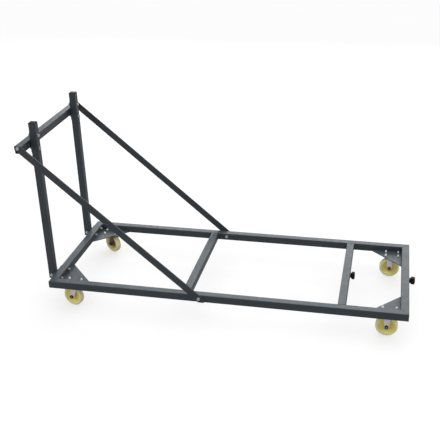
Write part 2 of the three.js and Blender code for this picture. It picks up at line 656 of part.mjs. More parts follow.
// A lobed grip with a round collar, bored from the collar side for its stud.
function knobHead(collar) {
  const outline = [];
  const steps = 6 * KNOB_LOBES;
  for (let i = 0; i < steps; i++) {
    const angle = (2 * Math.PI * i) / steps;
    const radius = KNOB_RADIUS + KNOB_LOBE * Math.cos(KNOB_LOBES * angle);
    outline.push(new THREE.Vector2(radius * Math.cos(angle), radius * Math.sin(angle)));
  }
  const grip = new THREE.ExtrudeGeometry(new THREE.Shape(outline), {
    depth: KNOB_LENGTH - 2 * KNOB_EDGE,
    bevelThickness: KNOB_EDGE,
    bevelSize: KNOB_EDGE,
    bevelOffset: -KNOB_EDGE,
    bevelSegments: 1,
  });
  grip.applyMatrix4(ALONG.x).translate(collar + KNOB_EDGE, 0, 0);
  const bored = rod("x", M8.shank + 0.2, 16, -1, collar + STUD_BITE + 2);
  return cut(join([grip, rod("x", KNOB_COLLAR_RADIUS, 24, 0, collar + 2)]), [bored]);
}

const knobs = [
  { name: "end", faceX: END_X },
  { name: "crossbar", faceX: RIGHT_CROSSBAR_X + FRAME_TUBE / 2 },
];
for (const { name, faceX } of knobs) {
  const sleeve = rod("x", INSERT_RADIUS, 16, -INSERT_DEPTH, 1);
  const flange = rod("x", INSERT_FLANGE_RADIUS, 16, 0, INSERT_FLANGE);
  const insert = cut(join([sleeve, flange]), [rod("x", M8.shank + 0.15, 16, -INSERT_DEPTH - 1, 5)]);
  place(trolley, `knob_insert_${name}`, insert, zincSteel, [faceX, 0, KNOB_Z]);
  const headX = INSERT_FLANGE + RUNNING_GAP;
  const studEnd = headX + KNOB_COLLAR[name] + STUD_BITE;
  const stud = rod("x", M8.shank, 16, studEnd - STUD_LENGTH, studEnd);
  place(trolley, `knob_stud_${name}`, stud, zincSteel, [faceX, 0, KNOB_Z]);
  place(trolley, `knob_${name}`, knobHead(KNOB_COLLAR[name]), blackPlastic, [faceX + headX, 0, KNOB_Z]);
}

export default trolley;
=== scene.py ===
"""Looks for the folding table trolley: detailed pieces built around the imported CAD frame."""

import json
import math
import random

import bmesh
import bpy
from mathutils import Matrix, Vector


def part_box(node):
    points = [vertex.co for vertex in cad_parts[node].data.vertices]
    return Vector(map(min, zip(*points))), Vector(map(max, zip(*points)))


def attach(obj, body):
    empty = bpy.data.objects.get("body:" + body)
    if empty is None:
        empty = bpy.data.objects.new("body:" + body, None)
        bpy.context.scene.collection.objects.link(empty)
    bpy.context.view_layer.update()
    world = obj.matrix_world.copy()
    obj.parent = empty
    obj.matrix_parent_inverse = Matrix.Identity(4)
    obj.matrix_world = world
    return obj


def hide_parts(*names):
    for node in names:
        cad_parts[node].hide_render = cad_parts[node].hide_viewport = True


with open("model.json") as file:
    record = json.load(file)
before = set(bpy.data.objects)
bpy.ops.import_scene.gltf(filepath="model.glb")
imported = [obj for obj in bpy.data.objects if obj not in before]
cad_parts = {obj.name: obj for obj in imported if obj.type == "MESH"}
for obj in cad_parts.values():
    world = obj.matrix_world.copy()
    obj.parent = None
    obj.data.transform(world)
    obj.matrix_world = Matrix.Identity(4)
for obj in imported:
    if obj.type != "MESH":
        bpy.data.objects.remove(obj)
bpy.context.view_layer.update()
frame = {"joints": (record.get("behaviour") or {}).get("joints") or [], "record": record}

MM = 0.001
TURN = 2 * math.pi
SHARP_ANGLE = math.radians(38)
RANDOM = random.Random(7)
SIDES = (("near", -1), ("far", 1))
ENDS = (("left", -1), ("right", 1))

record = frame["record"]
BODY_OF = {node: body for body, nodes in record["behaviour"]["bodies"].items() for node in nodes}
SLOT_OF = {entry["node"]: entry["material_slot"] for entry in record["subparts"]}
JOINTS = {joint["name"]: joint for joint in frame["joints"]}

# ---- Driving sizes, in metres ----

TUBE_WALL = 2 * MM
FRAME_CORNER = 3 * MM
UPRIGHT_CORNER = 2.5 * MM
SHEET_CORNER = 4 * MM
CAP_FLANGE = 3 * MM
STAY_WIDTH = 34 * MM

# Weld beads, and how far a part that is fixed to another runs into it
CORNER_BEAD = 2.6 * MM
SEAM_BEAD = 0.8 * MM
STITCH_BEAD = 2.2 * MM
SUNK = 0.5 * MM

# The brackets at the uprights' feet
BRACKET_SHEET = 2.5 * MM
BRACKET_ROUNDING = 15 * MM
BRACKET_EAR_MARGIN = 11 * MM
BRACKET_BOLT_Z = 142 * MM

# Metric fasteners: shank is a radius, flats is a width, and tail is the thread that stands past the nut
M6 = {"shank": 3 * MM, "flats": 10 * MM, "head": 4 * MM, "nut": 5 * MM,
      "pitch": 1 * MM, "tail": 5 * MM}
M8 = {"shank": 4 * MM, "flats": 13 * MM, "head": 5.3 * MM, "nut": 6.5 * MM,
      "pitch": 1.25 * MM, "tail": 3 * MM}
M12 = {"shank": 6 * MM, "flats": 17 * MM, "head": 7 * MM, "nut": 7 * MM,
       "pitch": 1.75 * MM, "tail": 2 * MM}
WASHER_RADIUS = 8 * MM
WASHER_THICKNESS = 1.6 * MM

# Wheels
WHEEL_RADIUS = 52 * MM
RIM_RADIUS = 43 * MM
TYRE_HALF = 16 * MM
HUB_HALF = 17.5 * MM
HUB_BORE = 6.2 * MM
AXLE_CENTRE = 3.2 * MM

# Casters, hung under the corner plates
CORNER_PLATE = 4 * MM
CASTER_PLATE = (88 * MM, 58 * MM, 3 * MM)
CASTER_PLATE_CORNER = 7 * MM
CASTER_BOLTS = (64 * MM, 42 * MM)
CASTER_BOLTS_Y = 279 * MM
FORK_HALF = 18 * MM
FORK_SHEET = 2.5 * MM
FORK_EYE = 12 * MM
FIXED_FORK_TOP = 17 * MM
SWIVEL_FORK_TOP = (-26 * MM, 6 * MM)
SWIVEL_TRAIL = 27 * MM
KINGPIN_RADIUS = 6 * MM
RIVET_RADIUS = 10 * MM
RIVET_HEIGHT = 3.3 * MM
RACE_RADIUS = 21.5 * MM
RACE_HEIGHT = 7 * MM
RACE_TAPER = 2.5 * MM
CROWN_DROP = 15 * MM
CROWN_SHEET = 3 * MM
CROWN_LENGTH = 50 * MM
CROWN_MIDDLE = -1 * MM
RUNNING_GAP = 0.3 * MM

# Hand knobs
KNOB_LOBES = 6
KNOB_LOBE = 1.4 * MM
KNOB_REACH = 19.1 * MM
INSERT_BORE = 4.15 * MM
INSERT_RADIUS = 5.5 * MM
INSERT_FLANGE = 1.5 * MM
INSERT_FLANGE_RADIUS = 8 * MM

# ---- Materials ----


class Surface:
    """A Principled material under construction, with helpers for its procedural detail."""

    def __init__(self, name, roughness, metallic=0.0, specular=0.5):
        self.material = bpy.data.materials.new(name)
        self.material.use_nodes = True
        self.tree = self.material.node_tree
        self.shader = self.tree.nodes["Principled BSDF"]
        self.shader.inputs["Roughness"].default_value = roughness
        self.shader.inputs["Metallic"].default_value = metallic
        self.shader.inputs["Specular IOR Level"].default_value = specular
        self.place = self.node("ShaderNodeTexCoord").outputs["Object"]

    def node(self, kind, **values):
        made = self.tree.nodes.new(kind)
        for key, value in values.items():
            setattr(made, key, value)
        return made

    def link(self, source, target):
        self.tree.links.new(source, target)

    def noise(self, scale, detail=3.0, roughness=0.5):
        made = self.node("ShaderNodeTexNoise")
        made.inputs["Scale"].default_value = scale
        made.inputs["Detail"].default_value = detail
        made.inputs["Roughness"].default_value = roughness
        self.link(self.place, made.inputs["Vector"])
        return made.outputs["Fac"]

    def ramp(self, factor, stops):
        made = self.node("ShaderNodeValToRGB")
        elements = made.color_ramp.elements
        while len(elements) < len(stops):
            elements.new(0.5)
        for element, (position, value) in zip(elements, stops):
            element.position = position
            element.color = (*value, 1) if isinstance(value, tuple) else (value, value, value, 1)
        self.link(factor, made.inputs["Fac"])
        return made.outputs["Color"]

    def mix(self, factor, first, second):
        made = self.node("ShaderNodeMix", data_type="RGBA")
        for value, socket in ((factor, made.inputs[0]), (first, made.inputs[6]), (second, made.inputs[7])):
            if isinstance(value, tuple):
                socket.default_value = (*value, 1)
            elif isinstance(value, (int, float)):
                socket.default_value = value
            else:
                self.link(value, socket)
        return made.outputs[2]

    def math(self, operation, first, second=0.0):
        made = self.node("ShaderNodeMath", operation=operation)
        for value, socket in ((first, made.inputs[0]), (second, made.inputs[1])):
            if isinstance(value, (int, float)):
                socket.default_value = value
            else:
                self.link(value, socket)
        return made.outputs[0]

    def colour(self, source):
        self.link(source, self.shader.inputs["Base Color"])

    def roughness(self, source):
        self.link(source, self.shader.inputs["Roughness"])

    def bump(self, layers, distance):
        """Each layer is a height socket and its strength; they are stacked on one another."""
        normal = None
        for height, strength in layers:
            made = self.node("ShaderNodeBump")
            made.inputs["Strength"].default_value = strength
            made.inputs["Distance"].default_value = distance
            self.link(height, made.inputs["Height"])
            if normal:
                self.link(normal, made.inputs["Normal"])
            normal = made.outputs["Normal"]
        self.link(normal, self.shader.inputs["Normal"])


def powder_coat():
    """Slate grey powder coat: orange-peel texture, slight cloudiness, and upward faces lightened partly by
    fine dust and partly by painted light from above.
    """
    paint = Surface("slate_powder_coat", roughness=0.42, specular=0.36)
    cloud = paint.noise(9, detail=4)
    base = paint.ramp(cloud, [(0.25, (0.029, 0.037, 0.044)), (0.75, (0.036, 0.046, 0.055))])
    fleck = paint.ramp(paint.noise(1500, detail=1), [(0.55, 0.0), (0.75, 1.0)])
    speckled = paint.mix(paint.math("MULTIPLY", fleck, 0.12), base, (0.11, 0.12, 0.13))
    # Upward faces are mixed towards a paler grey, partly as dust and partly as painted light standing in for
    # the light that falls on the tops.
    normal = paint.node("ShaderNodeNewGeometry").outputs["Normal"]
    split = paint.node("ShaderNodeSeparateXYZ")
    paint.link(normal, split.inputs[0])
    upward = paint.ramp(split.outputs["Z"], [(0.6, 0.0), (0.98, 1.0)])
    dust_and_light_patches = paint.ramp(paint.noise(35, detail=6, roughness=0.65), [(0.35, 0.55), (0.7, 1.0)])
    dust_and_top_light = paint.math("MULTIPLY", upward, paint.math("MULTIPLY", dust_and_light_patches, 0.24))
    paint.colour(paint.mix(dust_and_top_light, speckled, (0.12, 0.155, 0.18)))
    paint.roughness(paint.ramp(paint.noise(55, detail=5), [(0.3, 0.36), (0.7, 0.5)]))
    paint.bump([(paint.noise(420, detail=2), 0.22), (paint.noise(60, detail=2), 0.08)], 0.4 * MM)
    return paint.material


def zinc_plate(name, metallic, tones):
    """Zinc plating, clouded and slightly dulled, from its darkest tone to its lightest."""
    zinc = Surface(name, roughness=0.36, metallic=metallic)
    cloud = zinc.noise(70, detail=5, roughness=0.6)
    zinc.colour(zinc.ramp(cloud, list(zip((0.25, 0.55, 0.8), tones))))
    zinc.roughness(zinc.ramp(zinc.noise(130, detail=4), [(0.3, 0.28), (0.7, 0.46)]))
    zinc.bump([(zinc.noise(900, detail=2), 0.1)], 0.2 * MM)
    return zinc.material


def black_oxide():
    """Blackened steel with paler rubbed patches."""
    black = Surface("black_oxide_steel", roughness=0.38, metallic=0.6)
    rub = black.noise(160, detail=4)
    black.colour(black.ramp(rub, [(0.4, (0.022, 0.022, 0.024)), (0.75, (0.075, 0.073, 0.07))]))
    black.roughness(black.ramp(rub, [(0.3, 0.45), (0.7, 0.3)]))
    black.bump([(black.noise(700, detail=2), 0.12)], 0.2 * MM)
    return black.material


def moulded_black():
    """Black moulded plastic with a fine grain."""
    plastic = Surface("black_moulded_plastic", roughness=0.55, specular=0.12)
    grain = plastic.noise(120)
    plastic.colour(plastic.ramp(grain, [(0.3, (0.003, 0.003, 0.0035)), (0.7, (0.006, 0.006, 0.007))]))
    plastic.roughness(plastic.ramp(plastic.noise(300), [(0.3, 0.42), (0.7, 0.56)]))
    plastic.bump([(plastic.noise(1600, detail=2), 0.2)], 0.15 * MM)
    return plastic.material


def wheel_radius_factor(surface):
    """0 at a wheel's centre and 1 on its tread, from the wheel's own coordinates, whose Y is the axle."""
    flat = surface.node("ShaderNodeVectorMath", operation="MULTIPLY")
    flat.inputs[1].default_value = (1 / WHEEL_RADIUS, 0, 1 / WHEEL_RADIUS)
    surface.link(surface.place, flat.inputs[0])
    length = surface.node("ShaderNodeVectorMath", operation="LENGTH")
    surface.link(flat.outputs[0], length.inputs[0])
    return length.outputs["Value"]


def tread_plastic():
    """Pale olive-cream tread, soiled where it rolls."""
    tread = Surface("olive_tread", roughness=0.5, specular=0.4)
    radius = wheel_radius_factor(tread)
    base = tread.ramp(tread.noise(40, detail=5), [(0.3, (0.87, 0.80, 0.43)), (0.7, (0.95, 0.90, 0.56))])
    rolled = tread.ramp(radius, [(0.94, 0.0), (1.0, 1.0)])
    soil = tread.math("MULTIPLY", rolled, tread.ramp(tread.noise(90, detail=6), [(0.35, 0.2), (0.7, 0.75)]))
    tread.colour(tread.mix(soil, base, (0.50, 0.44, 0.28)))
    tread.roughness(tread.ramp(tread.noise(60, detail=4), [(0.3, 0.42), (0.7, 0.6)]))
    tread.bump([(tread.noise(500, detail=3), 0.18)], 0.25 * MM)
    return tread.material


def hub_plastic(name, tones, staining):
    """Olive-yellow moulded plastic, made darker and browner in the recess beside the boss as painted shade,
    with amber stains.
    """
    hub = Surface(name, roughness=0.36, specular=0.5)
    # Tones by distance from the centre: the darker, browner inner ones are painted shade in the recess beside
    # the boss.
    tone = hub.ramp(wheel_radius_factor(hub), tones)
    patch = hub.ramp(hub.noise(28, detail=4), [(0.45, 0.0), (0.75, staining)])
    hub.colour(hub.mix(patch, tone, (0.88, 0.55, 0.22)))
    hub.roughness(hub.ramp(hub.noise(80, detail=3), [(0.3, 0.3), (0.7, 0.46)]))
    hub.bump([(hub.noise(260, detail=3), 0.12)], 0.25 * MM)
    return hub.material


ZINC_TONES = [(0.74, 0.75, 0.76), (0.82, 0.83, 0.84), (0.90, 0.91, 0.92)]
DULL_TONES = [(0.34, 0.35, 0.36), (0.44, 0.45, 0.46), (0.56, 0.57, 0.58)]
# Dark brown zinc tones: painted shade for the far swivel fork, which stands in shadow under the frame.
SHADE_PAINTED_ZINC_TONES = [(0.06, 0.045, 0.03), (0.11, 0.085, 0.055), (0.20, 0.17, 0.12)]
# Hub tones from the centre outwards. Their dark inner stops are painted shade in the recess beside the boss.
LIGHTLY_SHADED_HUB = [(0.28, (0.72, 0.52, 0.09)), (0.55, (0.88, 0.77, 0.20)), (0.8, (0.95, 0.90, 0.34))]
# The far left wheel's hub tones carry much deeper painted shade in the recess, for the shadow of its fork
# leg.
DEEPLY_SHADED_HUB = [(0.3, (0.10, 0.06, 0.015)), (0.5, (0.45, 0.30, 0.06)), (0.64, (0.82, 0.70, 0.22)),
              (0.8, (0.97, 0.92, 0.50))]

# Each material slot's own look, and three looks that some pieces of a slot have instead
MATERIALS = {
    "painted_steel": powder_coat(),
    "zinc_steel": zinc_plate("zinc_plated_steel", metallic=0.1, tones=ZINC_TONES),
    "dull_zinc": zinc_plate("dull_zinc_steel", metallic=0.35, tones=DULL_TONES),
    "shade_painted_zinc": zinc_plate("shade_painted_zinc_steel", metallic=0.3, tones=SHADE_PAINTED_ZINC_TONES),
    "black_steel": black_oxide(),
    "black_plastic": moulded_black(),
    "tread": tread_plastic(),
    "wheel_plastic": hub_plastic("olive_yellow_wheel", LIGHTLY_SHADED_HUB, staining=0.55),
    "deeply_shaded_wheel": hub_plastic("deeply_shaded_yellow_wheel", DEEPLY_SHADED_HUB, staining=0.2),
}

# ---- Mesh helpers ----

# Matrices that lay a flat plate, drawn in local x and y, so that its thickness runs along X or Y
FACING_X = Matrix(((0, 0, 1, 0), (1, 0, 0, 0), (0, 1, 0, 0), (0, 0, 0, 1)))
FACING_Y = Matrix(((1, 0, 0, 0), (0, 0, 1, 0), (0, 1, 0, 0), (0, 0, 0, 1)))


def finish_piece(name, bm, node, bevel=0.0, place=None, look=None, extra=False):
    """Turns the mesh into a piece on its node's body. It stands for the node unless it is an extra."""
    bmesh.ops.recalc_face_normals(bm, faces=bm.faces)
    for face in bm.faces:
        face.smooth = True
    for edge in bm.edges:
        edge.smooth = len(edge.link_faces) == 2 and edge.calc_face_angle() < SHARP_ANGLE
    mesh = bpy.data.meshes.new(name)
    bm.to_mesh(mesh)
    bm.free()
    look = look or SLOT_OF[node]
    mesh.materials.append(MATERIALS[look])
    piece = bpy.data.objects.new(name, mesh)
    bpy.context.scene.collection.objects.link(piece)
    if place:
        piece.matrix_world = place
    if bevel:
        edge = piece.modifiers.new("rounded_edges", "BEVEL")
        edge.width = bevel
        edge.segments = 3
        edge.limit_method = "ANGLE"
        edge.angle_limit = SHARP_ANGLE
        edge.harden_normals = True
    weighted = piece.modifiers.new("flat_faces", "WEIGHTED_NORMAL")
    weighted.keep_sharp = True
    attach(piece, BODY_OF[node])
    if not extra:
        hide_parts(node)


def skin(bm, rings, closed=False):
    """Joins rings of points into a closed surface: the last ring meets the first, or both are capped."""
    loops = [[bm.verts.new(point) for point in ring] for ring in rings]
    count = len(loops[0])
    pairs = list(zip(loops, loops[1:]))
    if closed:
        pairs.append((loops[-1], loops[0]))
    for first, second in pairs:
        for i in range(count):
            j = (i + 1) % count
            bm.faces.new((first[i], first[j], second[j], second[i]))
    if not closed:
        bm.faces.new(list(reversed(loops[0])))
        bm.faces.new(loops[-1])


def lathe(bm, profile, matrix=Matrix(), segments=48, closed=False, axis="Z"):
    """Turns a profile of (radius, height) about local Z or Y; a closed profile makes a ring."""
    rings = []
    for radius, height in profile:
        ring = []
        for i in range(segments):
            angle = TURN * i / segments
            u, v = radius * math.cos(angle), radius * math.sin(angle)
            point = (u, v, height) if axis == "Z" else (v, height, u)
            ring.append(matrix @ Vector(point))
        rings.append(ring)
    skin(bm, rings, closed=closed)


def soften(points, radius, steps=4):
    """Rounds the corners of a closed outline. radius is one number or one for each point."""
    count = len(points)
    radii = radius if isinstance(radius, (list, tuple)) else [radius] * count
    result = []
    for i, point in enumerate(points):
        here = Vector(point)
        if radii[i] <= 0:
            result.append(tuple(here))
            continue
        before = Vector(points[i - 1]) - here
        after = Vector(points[(i + 1) % count]) - here
        reach = min(radii[i], 0.48 * before.length, 0.48 * after.length)
        start = here + before.normalized() * reach
        end = here + after.normalized() * reach
        for k in range(steps + 1):
            t = k / steps
            result.append(tuple(start * (1 - t) ** 2 + here * 2 * t * (1 - t) + end * t * t))
    return result


def plate(bm, outline, thickness, matrix):
    """A flat plate: the outline in local x and y, from z = 0 to z = thickness."""
    skin(bm, [[matrix @ Vector((x, y, z)) for x, y in outline] for z in (0, thickness)])


def rounded_rectangle(width, height, radius):
    """An outline about the origin. Its parabolic corners start a little before a true arc would."""
    w = width / 2
    h = height / 2
    return soften([(-w, -h), (w, -h), (w, h), (-w, h)], 1.35 * radius, steps=5)


def tube(bm, low, high, axis, corner, mitre=None):
    """A hollow rectangular tube that fills a box. mitre is the (axis, sign) of the side left full length."""
    middle = (low + high) / 2
    size = high - low
    across, up = [(1, 2), (2, 0), (0, 1)][axis]
    half = size[axis] / 2

    def ring(inset, radius, end):
        points = []
        for u, v in rounded_rectangle(size[across] - 2 * inset, size[up] - 2 * inset, radius):
            point = Vector((0, 0, 0))
            point[across], point[up] = u, v
            reach = half
            if mitre:
                side, sign = mitre
                reach -= size[side] / 2 - sign * point[side]
            point[axis] = end * reach
            points.append(point + middle)
        return points

    inner = max(corner - TUBE_WALL, 0.6 * MM)
    skin(bm, [ring(0, corner, -1), ring(0, corner, 1), ring(TUBE_WALL, inner, 1), ring(TUBE_WALL, inner, -1)],
         closed=True)


def weld(bm, start, end, radius=CORNER_BEAD):
    """A rippled bead along a line, half sunk into the corner it fills."""
    start, end = Vector(start), Vector(end)
    run = end - start
    steps = max(6, round(run.length / (0.9 * MM)))
    sideways = run.orthogonal().normalized()
    upward = run.cross(sideways).normalized()
    wobble = RANDOM.uniform(0, TURN)
    ripple_pitch = 3.4 * MM
    wander_pitch = 11 * MM
    taper_length = 2.5 * MM
    sides = 10
    rings = []
    for k in range(steps + 1):
        t = k / steps
        travel = t * run.length
        ripple = 0.86 + 0.16 * abs(math.sin(math.pi * travel / ripple_pitch + wobble))
        ripple *= 1 + 0.07 * math.sin(travel / wander_pitch + wobble)
        to_end = min(t, 1 - t) * run.length
        taper = math.sqrt(max(0.04, 1 - max(0.0, 1 - to_end / taper_length) ** 2))
        size = radius * ripple * taper
        centre = start + run * t
        rings.append([
            centre + (sideways * math.cos(TURN * i / sides) + upward * math.sin(TURN * i / sides)) * size
            for i in range(sides)
        ])
    skin(bm, rings)


def along(origin, direction):
    """A matrix whose local z runs along direction from origin."""
    turn = Vector(direction).to_track_quat("Z", "Y").to_matrix().to_4x4()
    return Matrix.Translation(origin) @ turn


def hexagon(bm, matrix, flats, low, high, chamfer_low=False):
    """A six-sided head or nut whose corners are turned off at 30 degrees."""
    steps = 48
    inner = flats / 2
    rim = 0.95 * inner
    slope = math.tan(math.radians(30))

    def hex_ring(height, fall):
        """The six-sided outline. Its corners fall away below the height, or above it for a fall of -1."""
        points = []
        for i in range(steps):
            angle = TURN * i / steps
            folded = (angle + math.pi / 6) % (math.pi / 3) - math.pi / 6
            radius = inner / math.cos(folded)
            z = height - fall * (radius - rim) * slope
            points.append(matrix @ Vector((radius * math.cos(angle), radius * math.sin(angle), z)))
        return points

    def round_ring(height):
        angles = [TURN * i / steps for i in range(steps)]
        return [matrix @ Vector((rim * math.cos(angle), rim * math.sin(angle), height)) for angle in angles]

    rings = [round_ring(low)] if chamfer_low else []
    rings.append(hex_ring(low, -1 if chamfer_low else 0))
    rings.append(hex_ring(high, 1))
    rings.append(round_ring(high))
    skin(bm, rings)


def thread(bm, matrix, radius, low, high, pitch):
    """A screw thread from low to high, pointed slightly at the high end."""
    columns = 24
    rows_per_turn = 4
    depth = 0.55 * pitch
    rows = max(2, round((high - low) / pitch * rows_per_turn))
    rings = []
    for k in range(rows + 1):
        height = low + (high - low) * k / rows
        ring = []
        for i in range(columns):
            phase = height / pitch - i / columns
            cut = radius - depth * (0.5 - 0.5 * math.cos(TURN * phase))
            cut = min(cut, radius - depth + max(0.0, high - height))
            angle = TURN * i / columns
            ring.append(matrix @ Vector((cut * math.cos(angle), cut * math.sin(angle), height)))
        rings.append(ring)
    skin(bm, rings)


def washer(bm, matrix, low, high):
    """An M8 washer from low to high, with its rim's edges broken."""
    edge = 0.2 * MM
    inner = M8["shank"] + 0.3 * MM
    outer = WASHER_RADIUS
    profile = [(inner, low), (outer - edge, low), (outer, low + edge), (outer, high - edge),
               (outer - edge, high), (inner, high)]
    lathe(bm, profile, matrix, segments=40, closed=True)


def fastener(bm, matrix, size, grip, pad=0):
    """A hex bolt with its nut beyond grip. Head and nut stand off by pad, the thickness of a washer."""
    flip = matrix @ Matrix.Rotation(math.pi, 4, "X")
    hexagon(bm, flip, size["flats"], pad, pad + size["head"])
    shank = 0.98 * size["shank"]
    lathe(bm, [(shank, -pad - SUNK), (shank, grip + pad + SUNK)], matrix, segments=24)
    top = grip + pad + size["nut"]
    hexagon(bm, matrix, size["flats"], grip + pad, top, chamfer_low=True)
    thread(bm, matrix, size["shank"], top - 1 * MM, top + size["tail"], size["pitch"])


def build_bolt(node, axis, head_sign):
    """An M8 bolt with washers and nut along an axis, fitted to its node's box; its head is at head_sign."""
    low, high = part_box(node)
    ends = M8["head"] + 2 * WASHER_THICKNESS + M8["nut"] + M8["tail"]
    grip = high[axis] - low[axis] - ends
    direction = Vector((0, 0, 0))
    direction[axis] = -head_sign
    origin = (low + high) / 2
    origin[axis] = (high if head_sign > 0 else low)[axis] - head_sign * (M8["head"] + WASHER_THICKNESS)
    lay = along(origin, direction)
    bm = bmesh.new()
    washer(bm, lay, -WASHER_THICKNESS, 0)
    washer(bm, lay, grip, grip + WASHER_THICKNESS)
    fastener(bm, lay, M8, grip, WASHER_THICKNESS)
    finish_piece(f"{node}_set", bm, node, look="dull_zinc")


# ---- Base frame ----


def build_tube(node, axis, corner=FRAME_CORNER, mitre=None):
    """One tube of the frame, fitted to its node's box."""
    bm = bmesh.new()
    tube(bm, *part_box(node), axis, corner, mitre)
    finish_piece(f"{node}_tube", bm, node, bevel=0.25 * MM)


def build_base():
    """The base: two rails and two end bars with mitred corners, and two crossbars."""
    for side, sign in SIDES:
        build_tube(f"rail_{side}", 0, mitre=(1, sign))
    for end, sign in ENDS:
        build_tube(f"end_bar_{end}", 1, mitre=(0, sign))
    build_tube("crossbar_mid", 1)
    build_tube("crossbar_right", 1)


def inner_and_outer(node, axis, sign):
    """Where the inner and outer faces of one of the outside bars stand, along the axis it faces."""
    low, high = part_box(node)
    return (high[axis], low[axis]) if sign < 0 else (low[axis], high[axis])


def weld_corner(bm, end, x_sign, side, y_sign):
    """A bead up the inside of the mitre, one along its top seam, and stitches along the corner plate."""
    inner_x, outer_x = inner_and_outer(f"end_bar_{end}", 0, x_sign)
    inner_y, outer_y = inner_and_outer(f"rail_{side}", 1, y_sign)
    rail_low, rail_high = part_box(f"rail_{side}")
    weld(bm, (inner_x, inner_y, rail_low.z + 5 * MM), (inner_x, inner_y, rail_high.z - 1 * MM))

    seam = rail_high.z - 0.35 * MM
    margin = 2 * MM
    outer_end = (outer_x - x_sign * margin, outer_y - y_sign * margin, seam)
    weld(bm, (inner_x, inner_y, seam), outer_end, radius=SEAM_BEAD)

    plate_low, plate_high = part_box(f"corner_plate_{end}_{side}")
    seat = plate_high.z
    reach = plate_high - plate_low
    for start, stop in ((0.2, 0.42), (0.66, 0.88)):
        weld(bm, (inner_x - x_sign * start * reach.x, inner_y, seat),
             (inner_x - x_sign * stop * reach.x, inner_y, seat), radius=STITCH_BEAD)
        weld(bm, (inner_x, inner_y - y_sign * start * reach.y, seat),
             (inner_x, inner_y - y_sign * stop * reach.y, seat), radius=STITCH_BEAD)


def weld_crossbar(bm, bar, side, y_sign):
    """A bead up each side of the crossbar's end and one across its top."""
    inner_y, _ = inner_and_outer(f"rail_{side}", 1, y_sign)
    low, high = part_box(bar)
    margin = 2 * MM
    for x in (low.x, high.x):
        weld(bm, (x, inner_y, low.z + margin), (x, inner_y, high.z - margin))
    seam = high.z - 0.3 * MM
    weld(bm, (low.x + margin, inner_y, seam), (high.x - margin, inner_y, seam), radius=SEAM_BEAD)


def build_base_welds():
    """Beads in the mitred corners, along the corner plates and round the crossbars' ends."""
    bm = bmesh.new()
    for side, y_sign in SIDES:
        for end, x_sign in ENDS:
            weld_corner(bm, end, x_sign, side, y_sign)
        for bar in ("crossbar_mid", "crossbar_right"):
            weld_crossbar(bm, bar, side, y_sign)
    finish_piece("frame_weld_beads", bm, "rail_near", extra=True)


def build_corner_plates():
    """A three-cornered plate across the foot of each corner of the frame."""
    for end, x_sign in ENDS:
        for side, y_sign in SIDES:
            node = f"corner_plate_{end}_{side}"
            low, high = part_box(node)
            reach = high - low
            x = high.x if x_sign > 0 else low.x
            y = high.y if y_sign > 0 else low.y
            corners = [(x, y), (x - x_sign * reach.x, y), (x, y - y_sign * reach.y)]
            bm = bmesh.new()
            plate(bm, soften(corners, [0, 3 * MM, 3 * MM]), high.z - low.z, Matrix.Translation((0, 0, low.z)))
            finish_piece(f"{node}_sheet", bm, node, bevel=0.5 * MM)


# ---- Uprights, handle and stays ----


def build_cap(side):
    """A plastic cap: a domed flange on the upright's end, and a plug that fits inside the tube."""
    node = f"upright_cap_{side}"
    low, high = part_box(node)
    middle = (low + high) / 2
    width = high.x - low.x
    base = high.z - CAP_FLANGE

    def ring(size, corner, z):
        return [Vector((middle.x + x, middle.y + y, z)) for x, y in rounded_rectangle(size, size, corner)]

    # Each row of the dome: how far it is drawn in, and its height as a share of the flange's
    dome = [(0, 0), (0, 0.6), (0.5 * MM, 0.85), (1.6 * MM, 0.97), (5 * MM, 1)]
    bm = bmesh.new()
    skin(bm, [ring(width - 2 * inset, UPRIGHT_CORNER, base + CAP_FLANGE * share) for inset, share in dome])
    plug = width - 2 * TUBE_WALL - 0.6 * MM
    skin(bm, [ring(plug, 1 * MM, z) for z in (low.z, base + SUNK)])
    finish_piece(f"{node}_moulding", bm, node)


def build_foot_bracket(side):
    """A web against the end bar, a rounded cheek on each side of the upright, and a bolted ear by each."""
    node = f"foot_bracket_{side}"
    low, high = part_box(node)
    upright_low, upright_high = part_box(f"upright_{side}")
    bar_low, bar_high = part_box("end_bar_left")
    back = bar_low.x - BRACKET_SHEET
    bm = bmesh.new()
    lay = Matrix.Translation((back, (low.y + high.y) / 2, (low.z + high.z) / 2)) @ FACING_X
    plate(bm, rounded_rectangle(high.y - low.y, high.z - low.z, SHEET_CORNER), BRACKET_SHEET, lay)
    corners = [(bar_low.x, low.z), (bar_low.x, high.z), (low.x, high.z), (low.x, low.z)]
    cheek = soften(corners, [1 * MM, 1 * MM, BRACKET_ROUNDING, BRACKET_ROUNDING], steps=8)
    for y in (upright_low.y - BRACKET_SHEET, upright_high.y):
        plate(bm, cheek, BRACKET_SHEET, Matrix.Translation((0, y, 0)) @ FACING_Y)
    finish_piece(f"{node}_sheet", bm, node, bevel=0.4 * MM)

    bm = bmesh.new()
    for y in (low.y + BRACKET_EAR_MARGIN, high.y - BRACKET_EAR_MARGIN):
        fastener(bm, along((back, y, BRACKET_BOLT_Z), (1, 0, 0)), M8, bar_high.x - back)
    finish_piece(f"{node}_bolts", bm, node, look="dull_zinc", extra=True)


def build_handle_plate(side):
    """The plate welded to the handle bar that the upright is bolted to."""
    node = f"handle_plate_{side}"
    low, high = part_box(node)
    middle = (low + high) / 2
    bm = bmesh.new()
    lay = Matrix.Translation((low.x, middle.y, middle.z)) @ FACING_X
    plate(bm, rounded_rectangle(high.y - low.y, high.z - low.z, SHEET_CORNER), high.x - low.x, lay)
    finish_piece(f"{node}_sheet", bm, node, bevel=0.5 * MM)


def build_upright(side, sign):
    build_tube(f"upright_{side}", 2, corner=UPRIGHT_CORNER)
    build_cap(side)
    build_foot_bracket(side)
    build_bolt(f"foot_bolt_{side}", 1, sign)
    build_handle_plate(side)
    for level in ("lower", "upper"):
        build_bolt(f"handle_bolt_{level}_{side}", 0, 1)


